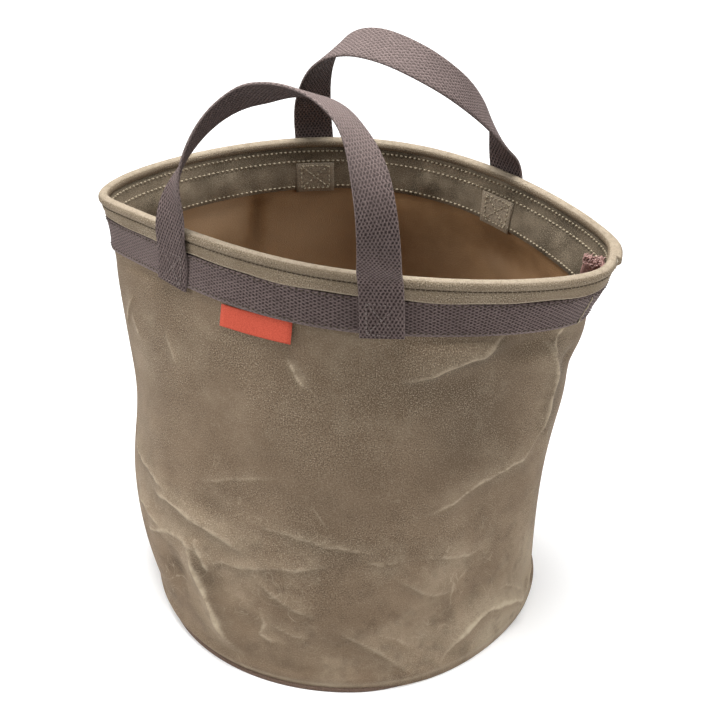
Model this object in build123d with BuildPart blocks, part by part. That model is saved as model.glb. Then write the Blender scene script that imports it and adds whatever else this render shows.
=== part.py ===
"""Soft canvas harvest bucket with a corded rim, a webbing band and two webbing handles.

Frame: millimetres, +Z up, origin on the floor at the centre of the round base.
The mouth is a lens drawn out along X: a back arc, two front arcs and a rounding at each end.
The side seam is at +X and the front handle at -Y.
"""
import os
from math import atan2, cos, degrees, hypot, pi, radians, sin, sqrt

from build123d import *

# Base and mouth, measured to the middle of the canvas
BASE_RADIUS = 147.0
RIM_HEIGHT = 324.0
BACK_DEPTH = 120.0
BACK_RADIUS = 216.0
BACK_SHIFT = -4.0
FRONT_DEPTH = 115.0
FRONT_SHIFT = 49.0
FRONT_SEAM_RADIUS = 148.0
FRONT_FAR_RADIUS = 282.0
SEAM_END_RADIUS = 30.0
FAR_END_RADIUS = 26.0

# Slack of the wall at shares of its slope: how far it falls in at the seam and swells at the far end
SLACK = (
    (0.13, 8.0, 14.0),
    (0.32, 14.5, 15.5),
    (0.58, 16.5, 4.0),
    (0.80, 17.0, 2.0),
)

# Cloth
CANVAS = 1.2
WEBBING = 2.2
LAYER_GAP = 0.15

# Base seam
BASE_THICKNESS = 1.4
BASE_BINDING_HEIGHT = 4.5
BASE_BINDING_THICKNESS = 1.7
BASE_SEAM_GAP = 0.7

# Rim: a cord wrapped in a canvas strip whose tail is sewn to the wall
ROLL_RADIUS = 4.3
CORD_RADIUS = 3.2
CORD_CLEARANCE = 0.2
TAIL_DEPTH = 17.0
BAND_WIDTH = 25.4
THREAD = 0.8
ROW_INSET = 2.3

# Side seam
SEAM_TAPE_WIDTH = 16.0
SEAM_TAPE_THICKNESS = 1.0
SEAM_TAPE_SEAT = 1.3

# Handles: X of each foot on the mouth, then the arch of each free length
STRAP_WIDTH = 26.0
FOOT_OVERHANG = 2.0
FOOT_SEAT = 0.6
FOLD_RISE = 6.0
FOLD_CLEARANCE = 0.3
FOLD_SWELL = 0.15
FOLD_REACH = 4.0
FOLD_DROP = 0.9
FRONT_RIGHT_X = 45.0
FRONT_LEFT_X = -108.0
FRONT_ARCH_HEIGHT = 110.0
FRONT_LEAN = -4.0
FRONT_SHOULDER = 36.0
FRONT_FULLNESS = 0.4
FRONT_SWAY = 19.0
FRONT_TWIST = -42.0
FRONT_RIGHT_REACH = 0.50
FRONT_LEFT_REACH = 0.24
REAR_LEFT_X = -54.0
REAR_RIGHT_X = 97.0
REAR_ARCH_HEIGHT = 126.0
REAR_LEAN = 36.0
REAR_SHOULDER = -3.0
REAR_FULLNESS = 0.0
REAR_SWAY = 5.0
REAR_TWIST = -4.0
REAR_LEFT_REACH = 0.32
REAR_RIGHT_REACH = 0.38

# Sewn boxes that hold the handle feet
BOX_INSET = 3.2
PATCH_WIDTH = 27.0

# Blank woven tag
TAG_X = -32.0
TAG_WIDTH = 45.0
TAG_HEIGHT = 16.0
TAG_THICKNESS = 0.8
TAG_SEAT = 0.5
TAG_HEM_SWELL = 0.1

# Number of straight steps in a free handle
LOOP_STEPS = 20

# Worked-out offsets from the middle of the canvas, outward positive
HALF_CANVAS = CANVAS / 2
FACING_FACE = -HALF_CANVAS - LAYER_GAP
FACING_BACK = FACING_FACE - CANVAS
THREAD_FACE = FACING_BACK - LAYER_GAP
THREAD_BACK = THREAD_FACE - THREAD
BAND_FACE = HALF_CANVAS + LAYER_GAP
BAND_BACK = BAND_FACE + WEBBING
TAIL_BACK = BAND_FACE + CANVAS
FOOT_OFFSET = BAND_BACK + FOOT_SEAT + WEBBING / 2
FOOT_AT_ROLL = ROLL_RADIUS + FOOT_SEAT + FOLD_CLEARANCE + WEBBING / 2
FOOT_AT_FOLD = FOOT_AT_ROLL + FOLD_REACH
FOLD_OFFSET = FOOT_AT_FOLD + WEBBING + FOLD_CLEARANCE

# Worked-out heights above the floor
ROLL_CENTRE = RIM_HEIGHT - ROLL_RADIUS
WALL_TOP = RIM_HEIGHT - 2 * ROLL_RADIUS - LAYER_GAP
TAIL_BOTTOM = RIM_HEIGHT - TAIL_DEPTH
BAND_TOP = TAIL_BOTTOM - LAYER_GAP
BAND_BOTTOM = BAND_TOP - BAND_WIDTH
RIM_ROW = WALL_TOP - THREAD
UPPER_ROW = BAND_TOP - ROW_INSET
LOWER_ROW = BAND_BOTTOM + ROW_INSET
FOOT_BOTTOM = BAND_BOTTOM - FOOT_OVERHANG
WALL_FOOT = BASE_THICKNESS + LAYER_GAP
FOLD_HEIGHT = RIM_HEIGHT + FOLD_RISE
FOLD_RADIUS = WEBBING / 2 + FOLD_SWELL
SLOPE_HEIGHT = BAND_BOTTOM - WALL_FOOT
STRAIGHT_SHARE = (BASE_BINDING_HEIGHT + 1 - WALL_FOOT) / SLOPE_HEIGHT

# Centres of the long arcs: one behind, and two in front that meet at the deepest point
BACK_CENTRE = Vector(BACK_SHIFT, BACK_DEPTH - BACK_RADIUS)
FRONT_SEAM_CENTRE = Vector(FRONT_SHIFT, FRONT_SEAM_RADIUS - FRONT_DEPTH)
FRONT_FAR_CENTRE = Vector(FRONT_SHIFT, FRONT_FAR_RADIUS - FRONT_DEPTH)


def end_centre(radius, front_centre, front_radius, side):
    """Centre of the rounding that joins the back arc and a front arc at one end."""
    back_reach = BACK_RADIUS - radius
    front_reach = front_radius - radius
    span = front_centre - BACK_CENTRE
    share = (back_reach**2 - front_reach**2 + span.length**2) / (2 * span.length)
    across = sqrt(back_reach**2 - share**2)
    level = Vector(span.Y, -span.X).normalized()
    return BACK_CENTRE + span.normalized() * share + level * (side * across)


SEAM_CENTRE = end_centre(SEAM_END_RADIUS, FRONT_SEAM_CENTRE, FRONT_SEAM_RADIUS, 1)
FAR_CENTRE = end_centre(FAR_END_RADIUS, FRONT_FAR_CENTRE, FRONT_FAR_RADIUS, -1)


def toward(centre, target, distance):
    """Point at a distance from one point in the direction of another."""
    return centre + (target - centre).normalized() * distance


def mouth_joints(offset):
    """Points where the mouth's arcs meet, from the seam round the back to the front."""
    return (
        toward(BACK_CENTRE, SEAM_CENTRE, BACK_RADIUS + offset),
        toward(BACK_CENTRE, FAR_CENTRE, BACK_RADIUS + offset),
        toward(FRONT_FAR_CENTRE, FAR_CENTRE, FRONT_FAR_RADIUS + offset),
        Vector(FRONT_SHIFT, -FRONT_DEPTH - offset),
        toward(FRONT_SEAM_CENTRE, SEAM_CENTRE, FRONT_SEAM_RADIUS + offset),
    )


def arc_face(joints, centres):
    """Face bounded by arcs round given centres, each bulging away from its centre."""
    with BuildSketch() as outline:
        with BuildLine():
            for k, centre in enumerate(centres):
                start = joints[k]
                end = joints[(k + 1) % len(joints)]
                crest = toward(centre, start + end - centre, (start - centre).length)
                ThreePointArc(start, crest, end)
        make_face()
    return outline.sketch


ARC_CENTRES = (BACK_CENTRE, FAR_CENTRE, FRONT_FAR_CENTRE, FRONT_SEAM_CENTRE, SEAM_CENTRE)

# Pieces that each arc of the mouth is split into down the wall, and the levels the wall is shaped at
ARC_PIECES = (2, 1, 2, 2, 1)
WALL_LEVELS = ((0.0, 0.0, 0.0), (STRAIGHT_SHARE, 0.0, 0.0), *SLACK, (1.0, 0.0, 0.0))


def mouth_outline(offset):
    """Face inside the mouth, at a distance outside the middle of the canvas."""
    return arc_face(mouth_joints(offset), ARC_CENTRES)


def mouth_spots():
    """Points round the mouth, two for each piece of an arc, each with the direction out of the wall."""
    joints = mouth_joints(0)
    spots = []
    for k, (centre, pieces) in enumerate(zip(ARC_CENTRES, ARC_PIECES)):
        start = joints[k] - centre
        sweep_angle = start.get_angle(joints[(k + 1) % len(joints)] - centre)
        for step in range(2 * pieces):
            out = start.rotate(Axis.Z, sweep_angle * step / (2 * pieces)).normalized()
            spots.append((centre + out * start.length, out))
    return spots


MOUTH_SPOTS = mouth_spots()


def wall_points(level, offset):
    """Points round the wall at one level, on the same bearings as the mouth's points."""
    share, hollow, swell = level
    points = []
    for spot, out in MOUTH_SPOTS:
        away = spot.normalized()
        slack = (-hollow if spot.X > 0 else swell) * away.X**2
        points.append((spot + out * offset) * share + away * ((BASE_RADIUS + offset) * (1 - share) + slack))
    return points


def wall_outline(level, offset):
    """Face inside the wall at one level, at a distance outside the middle of the canvas."""
    points = wall_points(level, offset)
    with BuildSketch() as outline:
        with BuildLine():
            for k in range(0, len(points), 2):
                ThreePointArc(points[k], points[k + 1], points[(k + 2) % len(points)])
        make_face()
    return outline.sketch


def level_height(level):
    """Height of one level of the wall above the floor."""
    return WALL_FOOT + level[0] * SLOPE_HEIGHT


def bucket_form(offset):
    """Solid inside one face of the side panel: slack below the band, upright behind it."""
    with BuildPart() as form:
        for level in WALL_LEVELS:
            with BuildSketch(Plane.XY.offset(level_height(level))):
                add(wall_outline(level, offset))
        loft(ruled=True)
        with BuildSketch(Plane.XY.offset(BAND_BOTTOM)):
            add(wall_outline(WALL_LEVELS[-1], offset))
        extrude(amount=WALL_TOP - BAND_BOTTOM)
    return form.part


def rim_ring(inner, outer, bottom, top):
    """Closed upright strip round the mouth, between two offsets and two heights."""
    with BuildPart() as ring:
        with BuildSketch(Plane.XY.offset(bottom)):
            add(mouth_outline(outer))
            add(mouth_outline(inner), mode=Mode.SUBTRACT)
        extrude(amount=top - bottom)
    return ring.part


def rim_roll(radius):
    """Round bar along the top of the wall."""
    with BuildPart() as roll:
        edge = mouth_outline(0).faces()[0].outer_wire().moved(Location((0, 0, ROLL_CENTRE)))
        start = edge @ 0
        with BuildSketch(Plane(start, z_dir=edge % 0)):
            Circle(radius)
        sweep(path=edge)
    return roll.part


def arc_point(x, offset, height, rear):
    """Point on the back or front of the mouth and the level direction out of the wall there."""
    centre, radius = BACK_CENTRE, BACK_RADIUS
    if not rear:
        seam_side = x > FRONT_SHIFT
        centre = FRONT_SEAM_CENTRE if seam_side else FRONT_FAR_CENTRE
        radius = FRONT_SEAM_RADIUS if seam_side else FRONT_FAR_RADIUS
    lift = sqrt(radius**2 - (x - centre.X) ** 2)
    out = Vector(x - centre.X, lift if rear else -lift).normalized()
    spot = centre + out * (radius + offset)
    return Vector(spot.X, spot.Y, height), out


def ease(share):
    """Smooth step from 0 to 1."""
    share = min(max(share, 0.0), 1.0)
    return share * share * (3 - 2 * share)


def strap_loop(start, end, arch, lean, shoulder, fullness, sway, twist, start_reach, end_reach):
    """Free length of a handle, a ribbon that twists from flat feet into an arch.

    It runs from the foot on the right, as seen from outside the bucket, to the one on the left.
    """
    chord = end - start
    across = chord.normalized()
    inward = Vector(0, 0, 1).cross(across) * -1
    rise = inward * sin(radians(lean)) + Vector(0, 0, cos(radians(lean)))
    outward = rise.cross(across)

    def middle(share):
        s = sin(pi * share)
        run = chord.length / 2 * (1 - cos(pi * share) * (1 + fullness * s * s)) - shoulder * s * s
        return start + across * run + rise * (arch * s) + outward * (sway * sin(2 * pi * share))

    with BuildPart() as loop:
        for step in range(LOOP_STEPS + 1):
            share = step / LOOP_STEPS
            along = (middle(share + 0.001) - middle(share - 0.001)).normalized()
            foot = max(1 - ease(share / start_reach), 1 - ease((1 - share) / end_reach))
            turn = radians(twist + (90 - twist) * foot)
            upper = along.cross(outward).normalized()
            side = upper.cross(along)
            face = upper * cos(turn) + side * sin(turn)
            with BuildSketch(Plane(middle(share), x_dir=along.cross(face), z_dir=along)):
                Rectangle(STRAP_WIDTH, WEBBING)
        loft(ruled=True)
        for fold in (start, end):
            with BuildSketch(Plane(fold, z_dir=across)):
                Circle(FOLD_RADIUS)
            extrude(amount=STRAP_WIDTH / 2, both=True)
    return loop.part


def strap_foot(x, rear, across):
    """Sewn end of a handle: flat on the band, out past the roll and up behind the fold."""
    top, out = arc_point(x, FOOT_AT_FOLD, FOLD_HEIGHT - FOLD_DROP, rear)
    tangent = Vector(-out.Y, out.X)
    if tangent.dot(across) < 0:
        tangent = tangent * -1
    stations = (
        (arc_point(x, FOOT_OFFSET, FOOT_BOTTOM, rear)[0], tangent),
        (arc_point(x, FOOT_OFFSET, TAIL_BOTTOM, rear)[0], tangent),
        (arc_point(x, FOOT_AT_ROLL, ROLL_CENTRE - ROLL_RADIUS, rear)[0], tangent),
        (arc_point(x, FOOT_AT_ROLL, ROLL_CENTRE, rear)[0], tangent),
        (top, across),
    )
    with BuildPart() as foot:
        for point, direction in stations:
            with BuildSketch(Plane(point, x_dir=direction, z_dir=(0, 0, 1))):
                Rectangle(STRAP_WIDTH, WEBBING)
        loft(ruled=True)
    return foot.part


def box_stitch(x, rear):
    """Sewn square with a cross, lying on the outside of a handle foot."""
    low = FOOT_BOTTOM + BOX_INSET
    high = UPPER_ROW
    centre, out = arc_point(x, FOOT_OFFSET + WEBBING / 2 + LAYER_GAP, (low + high) / 2, rear)
    width = STRAP_WIDTH - 2 * BOX_INSET
    height = high - low
    slope = degrees(atan2(height, width))
    with BuildPart() as box:
        with BuildSketch(Plane(centre, x_dir=(-out.Y, out.X, 0), z_dir=out)):
            Rectangle(width + THREAD, height + THREAD)
            Rectangle(width - THREAD, height - THREAD, mode=Mode.SUBTRACT)
            Rectangle(hypot(width, height), THREAD, rotation=slope)
            Rectangle(hypot(width, height), THREAD, rotation=-slope)
        extrude(amount=THREAD / 2)
    return box.part


FEET = {
    "front_right": (FRONT_RIGHT_X, False),
    "front_left": (FRONT_LEFT_X, False),
    "rear_left": (REAR_LEFT_X, True),
    "rear_right": (REAR_RIGHT_X, True),
}
FOLDS = {name: arc_point(x, FOLD_OFFSET, FOLD_HEIGHT, rear)[0] for name, (x, rear) in FEET.items()}
FRONT_FOLD = (FOLDS["front_left"] - FOLDS["front_right"]).normalized()
REAR_FOLD = (FOLDS["rear_right"] - FOLDS["rear_left"]).normalized()
os.makedirs("parts", exist_ok=True)

# Base disc that the wall is sewn to
with BuildPart() as base_panel:
    Cylinder(BASE_RADIUS + HALF_CANVAS, BASE_THICKNESS, align=(Align.CENTER, Align.CENTER, Align.MIN))
base_panel.part.label = "base_panel"
export_step(base_panel.part, "parts/base_panel.step")

# Tape folded round the base seam
with BuildPart() as base_binding:
    tape_radius = BASE_RADIUS + HALF_CANVAS + BASE_SEAM_GAP
    with BuildSketch():
        Circle(tape_radius + BASE_BINDING_THICKNESS)
        Circle(tape_radius, mode=Mode.SUBTRACT)
    extrude(amount=BASE_BINDING_HEIGHT)
base_binding.part.label = "base_binding"
export_step(base_binding.part, "parts/base_binding.step")

# One length of canvas wrapped round the base
with BuildPart() as side_panel:
    add(bucket_form(HALF_CANVAS))
    add(bucket_form(-HALF_CANVAS), mode=Mode.SUBTRACT)
side_panel.part.label = "side_panel"
export_step(side_panel.part, "parts/side_panel.step")

# Canvas strip that lines the inside of the rim
with BuildPart() as rim_facing:
    add(rim_ring(FACING_BACK, FACING_FACE, BAND_BOTTOM, WALL_TOP))
rim_facing.part.label = "rim_facing"
export_step(rim_facing.part, "parts/rim_facing.step")

# Stiff cord that holds the mouth open
with BuildPart() as rim_cord:
    add(rim_roll(CORD_RADIUS))
rim_cord.part.label = "rim_cord"
export_step(rim_cord.part, "parts/rim_cord.step")

# Canvas strip wrapped round the cord, with its tail on the outside of the wall
with BuildPart() as rim_binding:
    add(rim_roll(ROLL_RADIUS))
    add(rim_ring(BAND_FACE, TAIL_BACK, TAIL_BOTTOM, ROLL_CENTRE))
    add(rim_roll(CORD_RADIUS + CORD_CLEARANCE), mode=Mode.SUBTRACT)
rim_binding.part.label = "rim_binding"
export_step(rim_binding.part, "parts/rim_binding.step")

# Webbing sewn round the outside under the binding
with BuildPart() as webbing_band:
    add(rim_ring(BAND_FACE, BAND_BACK, BAND_BOTTOM, BAND_TOP))
webbing_band.part.label = "webbing_band"
export_step(webbing_band.part, "parts/webbing_band.step")

# Rows of thread inside the rim
ROWS = {"rim_stitch_row": RIM_ROW, "upper_stitch_row": UPPER_ROW, "lower_stitch_row": LOWER_ROW}
for name, height in ROWS.items():
    with BuildPart() as stitch_row:
        add(rim_ring(THREAD_BACK, THREAD_FACE, height - THREAD / 2, height + THREAD / 2))
    stitch_row.part.label = name
    export_step(stitch_row.part, f"parts/{name}.step")

# Handle feet, the thread that holds each one and the canvas patch behind it
for name, (x, rear) in FEET.items():
    with BuildPart() as foot:
        add(strap_foot(x, rear, REAR_FOLD if rear else FRONT_FOLD))
    foot.part.label = f"{name}_foot"
    export_step(foot.part, f"parts/{name}_foot.step")

    with BuildPart() as stitch:
        add(box_stitch(x, rear))
    stitch.part.label = f"{name}_box_stitch"
    export_step(stitch.part, f"parts/{name}_box_stitch.step")

    with BuildPart() as patch:
        middle, out = arc_point(x, 0, LOWER_ROW, rear)
        add(rim_ring(THREAD_BACK, THREAD_FACE, LOWER_ROW + THREAD, UPPER_ROW - THREAD))
        with BuildSketch(Plane(middle, x_dir=(-out.Y, out.X, 0), z_dir=(0, 0, 1))):
            Rectangle(PATCH_WIDTH, PATCH_WIDTH)
        extrude(amount=BAND_WIDTH, mode=Mode.INTERSECT)
    patch.part.label = f"{name}_patch"
    export_step(patch.part, f"parts/{name}_patch.step")

# Free lengths of the two handles
with BuildPart() as front_handle:
    add(
        strap_loop(
            FOLDS["front_right"],
            FOLDS["front_left"],
            FRONT_ARCH_HEIGHT,
            FRONT_LEAN,
            FRONT_SHOULDER,
            FRONT_FULLNESS,
            FRONT_SWAY,
            FRONT_TWIST,
            FRONT_RIGHT_REACH,
            FRONT_LEFT_REACH,
        )
    )
front_handle.part.label = "front_handle"
export_step(front_handle.part, "parts/front_handle.step")

with BuildPart() as rear_handle:
    add(
        strap_loop(
            FOLDS["rear_left"],
            FOLDS["rear_right"],
            REAR_ARCH_HEIGHT,
            REAR_LEAN,
            REAR_SHOULDER,
            REAR_FULLNESS,
            REAR_SWAY,
            REAR_TWIST,
            REAR_LEFT_REACH,
            REAR_RIGHT_REACH,
        )
    )
rear_handle.part.label = "rear_handle"
export_step(rear_handle.part, "parts/rear_handle.step")

# Tape over the seam inside, from the base to the top of the facing
with BuildPart() as seam_tape:
    stations = [(level, level_height(level)) for level in WALL_LEVELS[1:]]
    stations = [(WALL_LEVELS[0], WALL_FOOT + LAYER_GAP), *stations, (WALL_LEVELS[-1], WALL_TOP)]
    for level, height in stations:
        points = wall_points(level, 0)
        corner = ThreePointArc(points[-2], points[-1], points[0], mode=Mode.PRIVATE)
        along = corner % 0.5
        out = Vector(along.Y, -along.X)
        behind = HALF_CANVAS if level[0] < 1 else -THREAD_BACK
        seat = behind + SEAM_TAPE_SEAT + SEAM_TAPE_THICKNESS / 2 + SEAM_TAPE_WIDTH**2 / (8 * corner.radius)
        spot = corner @ 0.5 - out * seat
        with BuildSketch(Plane((spot.X, spot.Y, height), x_dir=along, z_dir=(0, 0, 1))):
            Rectangle(SEAM_TAPE_WIDTH, SEAM_TAPE_THICKNESS)
    loft(ruled=True)
seam_tape.part.label = "seam_tape"
export_step(seam_tape.part, "parts/seam_tape.step")

# Blank woven tag sewn under the band along its top edge, hanging down the slope of the wall
with BuildPart() as tag:
    hang = BAND_BOTTOM - TAG_SEAT - TAG_THICKNESS / 2
    hem, out = arc_point(TAG_X, HALF_CANVAS + TAG_SEAT + TAG_THICKNESS / 2, hang, False)
    level = Vector(-out.Y, out.X)
    slope = atan2(BASE_RADIUS - arc_point(TAG_X, 0, 0, False)[0].length, BAND_BOTTOM - WALL_FOOT)
    face = out * cos(slope) + Vector(0, 0, sin(slope))
    with BuildSketch(Plane(hem, x_dir=level, z_dir=face)):
        with Locations((0, -TAG_HEIGHT / 2)):
            Rectangle(TAG_WIDTH, TAG_HEIGHT)
    extrude(amount=TAG_THICKNESS / 2, both=True)
    with BuildSketch(Plane(hem, z_dir=level)):
        Circle(TAG_THICKNESS / 2 + TAG_HEM_SWELL)
    extrude(amount=TAG_WIDTH / 2, both=True)
tag.part.label = "tag"
export_step(tag.part, "parts/tag.step")
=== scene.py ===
"""Looks of a soft waxed-canvas harvest bucket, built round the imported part.

Lengths are in millimetres and turned into metres when a mesh is made. The wall is one function of
a turn round the mouth and a height above the floor, and every sewn piece is placed on it.
A turn of 0 is the side seam at +X, and turns run round the back to the far end and the front.
"""
import math

import bpy
import numpy as np
from mathutils import Euler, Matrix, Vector


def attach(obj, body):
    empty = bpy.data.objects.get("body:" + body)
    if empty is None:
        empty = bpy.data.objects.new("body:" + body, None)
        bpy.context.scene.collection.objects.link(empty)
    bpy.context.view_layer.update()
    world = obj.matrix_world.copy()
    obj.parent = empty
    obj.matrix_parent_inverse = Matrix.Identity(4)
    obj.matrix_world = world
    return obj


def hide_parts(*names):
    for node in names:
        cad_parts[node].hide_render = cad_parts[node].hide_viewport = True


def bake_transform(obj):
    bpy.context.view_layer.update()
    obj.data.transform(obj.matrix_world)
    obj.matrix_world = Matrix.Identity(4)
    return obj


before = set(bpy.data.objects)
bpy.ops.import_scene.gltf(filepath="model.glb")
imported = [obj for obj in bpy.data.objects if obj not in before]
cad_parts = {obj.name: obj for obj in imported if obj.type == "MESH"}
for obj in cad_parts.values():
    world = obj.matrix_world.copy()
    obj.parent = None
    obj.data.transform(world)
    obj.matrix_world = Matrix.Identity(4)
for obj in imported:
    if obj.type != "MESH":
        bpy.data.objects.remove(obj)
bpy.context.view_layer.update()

MM = 0.001

# Mouth and base, to the middle of the canvas
BASE_RADIUS = 146.4
SEAM_HALF = 188.0
FAR_HALF = 187.0
END_ROUNDING = 20.0
BACK_DEPTH = 120.0
BACK_PINCH_SEAM = 0.37
BACK_PINCH_FAR = 0.24
FRONT_DEPTH = 111.6
FRONT_SKEW = 19.0
FRONT_BLUNT = 0.486
FRONT_PINCH_SEAM = 0.39
FRONT_PINCH_FAR = 0.735

# Top of the rim: a saddle that dips towards both ends, most at the seam
CROWN_HEIGHT = 327.5
CROWN_SHIFT = -44.0
CROWN_SPREAD = 2700.0

# How far the slack wall falls in at the seam and swells at the far end, by its share of the height.
# A power moves the fullest place up or down, and a tuck has a depth, a place and a spread.
SEAM_HOLLOW = 12.8
SEAM_POWER = 0.83
SEAM_TUCKS = ((4.9, 0.72, 0.08), (5.5, 0.87, 0.06))
FAR_SWELL = 16.9
FAR_POWER = 0.45
FAR_SHARPNESS = 2.2
FAR_TUCKS = ((5.0, 0.48, 0.14), (3.8, 0.92, 0.075))
FOOT_EASE = 10.0
BASE_DENT = 6.2
BASE_DENT_BEARING = math.radians(-26.0)
BASE_DENT_SPREAD = math.radians(30.0)

# Bearings between which the hem is turned under
TUCK_START = math.radians(-76.0)
TUCK_END = math.radians(12.0)
TUCK_EASE = math.radians(22.0)

# Cloth
CANVAS = 1.2
WEBBING = 2.2
LAYER_GAP = 0.15
ROLL_RADIUS = 3.9
CORD_RADIUS = 2.8
BAND_DROP = 17.2
BAND_FOOT = 42.6
STRAP_WIDTH = 26.0
FOOT_WIDTH = 29.8
WALL_FOOT = 3.6
TUCKED_FOOT = 0.6

# Distances out of the middle of the canvas to the faces of the binding's tail, the band and the facing
BAND_INNER = CANVAS / 2 + LAYER_GAP
TAIL_OUTER = BAND_INNER + CANVAS
BAND_OUTER = BAND_INNER + WEBBING
FACING_OUTER = -BAND_INNER
FACING_INNER = FACING_OUTER - CANVAS

# Number of steps in the meshes
PLAN_STEPS = 4000
RING_STEPS = 440
CORD_STEPS = 220
FACING_STEPS = 640
BASE_STEPS = 220
FRONT_STEPS = 400
BACK_STEPS = 170
WALL_STEPS = 200
LINING_STEPS = 80
LOOP_STEPS = 220
STRAP_STEPS = 300


def smooth(value, low, high):
    """Smooth step from 0 at low to 1 at high."""
    share = np.clip((value - low) / (high - low), 0, 1)
    return share * share * (3 - 2 * share)


def bump(value, centre, width):
    """Bell of height 1."""
    return np.exp(-(((value - centre) / width) ** 2))


def bells(rows, value):
    """Sum of bells, each of a size, a centre and a width."""
    return sum(size * bump(value, centre, width) for size, centre, width in rows)


def waves(rows, front, height=0.0):
    """Sum of waves, each of a size, the distances along and up for one radian, and a phase."""
    return sum(size * np.sin(front / along + height / up + phase) for size, along, up, phase in rows)


def patches(table, front, height):
    """Sum of soft patches, each of a place along the front, a height, a size, and its reach along and up."""
    total = 0.0
    for at, level, size, along, up in table.values():
        total = total + size * bump(front, at, along) * bump(height, level, up)
    return total


def path_length(points):
    """Length along a line up to each of its points."""
    return np.concatenate([[0], np.cumsum(np.linalg.norm(np.diff(points, axis=0), axis=-1))])


def along_line(where, marks, rows):
    """Rows of a line at other distances along it."""
    return np.stack([np.interp(where, marks, column) for column in rows.T], -1)


def softened(rows, reach, ends):
    """Running mean of rows, past ends that "wrap" round or keep their "edge" value."""
    kernel = np.hanning(2 * reach + 3)[1:-1]
    padded = np.pad(rows, ((reach, reach), (0, 0)), ends)
    return np.stack([np.convolve(column, kernel / kernel.sum(), "valid") for column in padded.T], -1)


def unit(vectors):
    return vectors / np.linalg.norm(vectors, axis=-1, keepdims=True)


def plan(turn):
    """Plan of the rim before its ends are rounded, as rows of x and y."""
    c, s = np.cos(turn), np.sin(turn)
    back = s >= 0
    back_pinch = np.where(c > 0, BACK_PINCH_SEAM, BACK_PINCH_FAR)
    front_pinch = np.where(c > 0, FRONT_PINCH_SEAM, FRONT_PINCH_FAR)
    pinch = np.where(back, back_pinch, front_pinch)
    x = np.where(c > 0, SEAM_HALF, FAR_HALF) * c + np.where(back, 0, FRONT_SKEW) * s * s
    depth = np.where(back, BACK_DEPTH * np.abs(s), -FRONT_DEPTH * np.abs(s) ** FRONT_BLUNT)
    return np.stack([x, depth * (1 - pinch * c * c)], -1)


TURNS = np.linspace(0, 2 * np.pi, 6001)
PLAN_LENGTHS = path_length(plan(TURNS))
PLAN_MARKS = np.linspace(0, PLAN_LENGTHS[-1], PLAN_STEPS, endpoint=False)
PLAN_REACH = int(END_ROUNDING / PLAN_MARKS[1])
PLAN = softened(along_line(PLAN_MARKS, PLAN_LENGTHS, plan(TURNS)), PLAN_REACH, "wrap")


def mouth(turn):
    """Plan of the rim, as x and y."""
    mark = np.interp(np.mod(turn, 2 * np.pi), TURNS, PLAN_LENGTHS)
    return [np.interp(mark, PLAN_MARKS, column, period=PLAN_LENGTHS[-1]) for column in PLAN.T]


def crown(turn):
    """Height of the top of the rim."""
    return CROWN_HEIGHT - (mouth(turn)[0] - CROWN_SHIFT) ** 2 / CROWN_SPREAD


LENGTHS = path_length(np.stack(mouth(TURNS), -1))
ROUND = LENGTHS[-1]


def turn_at(front):
    """Turn at a distance along the rim from the seam, measured along the front."""
    return np.interp(np.mod(ROUND - np.asarray(front, float), ROUND), LENGTHS, TURNS)


def front_at(turn):
    """Distance along the rim from the seam, measured along the front."""
    return ROUND - np.interp(np.mod(turn, 2 * np.pi), TURNS, LENGTHS)


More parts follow.
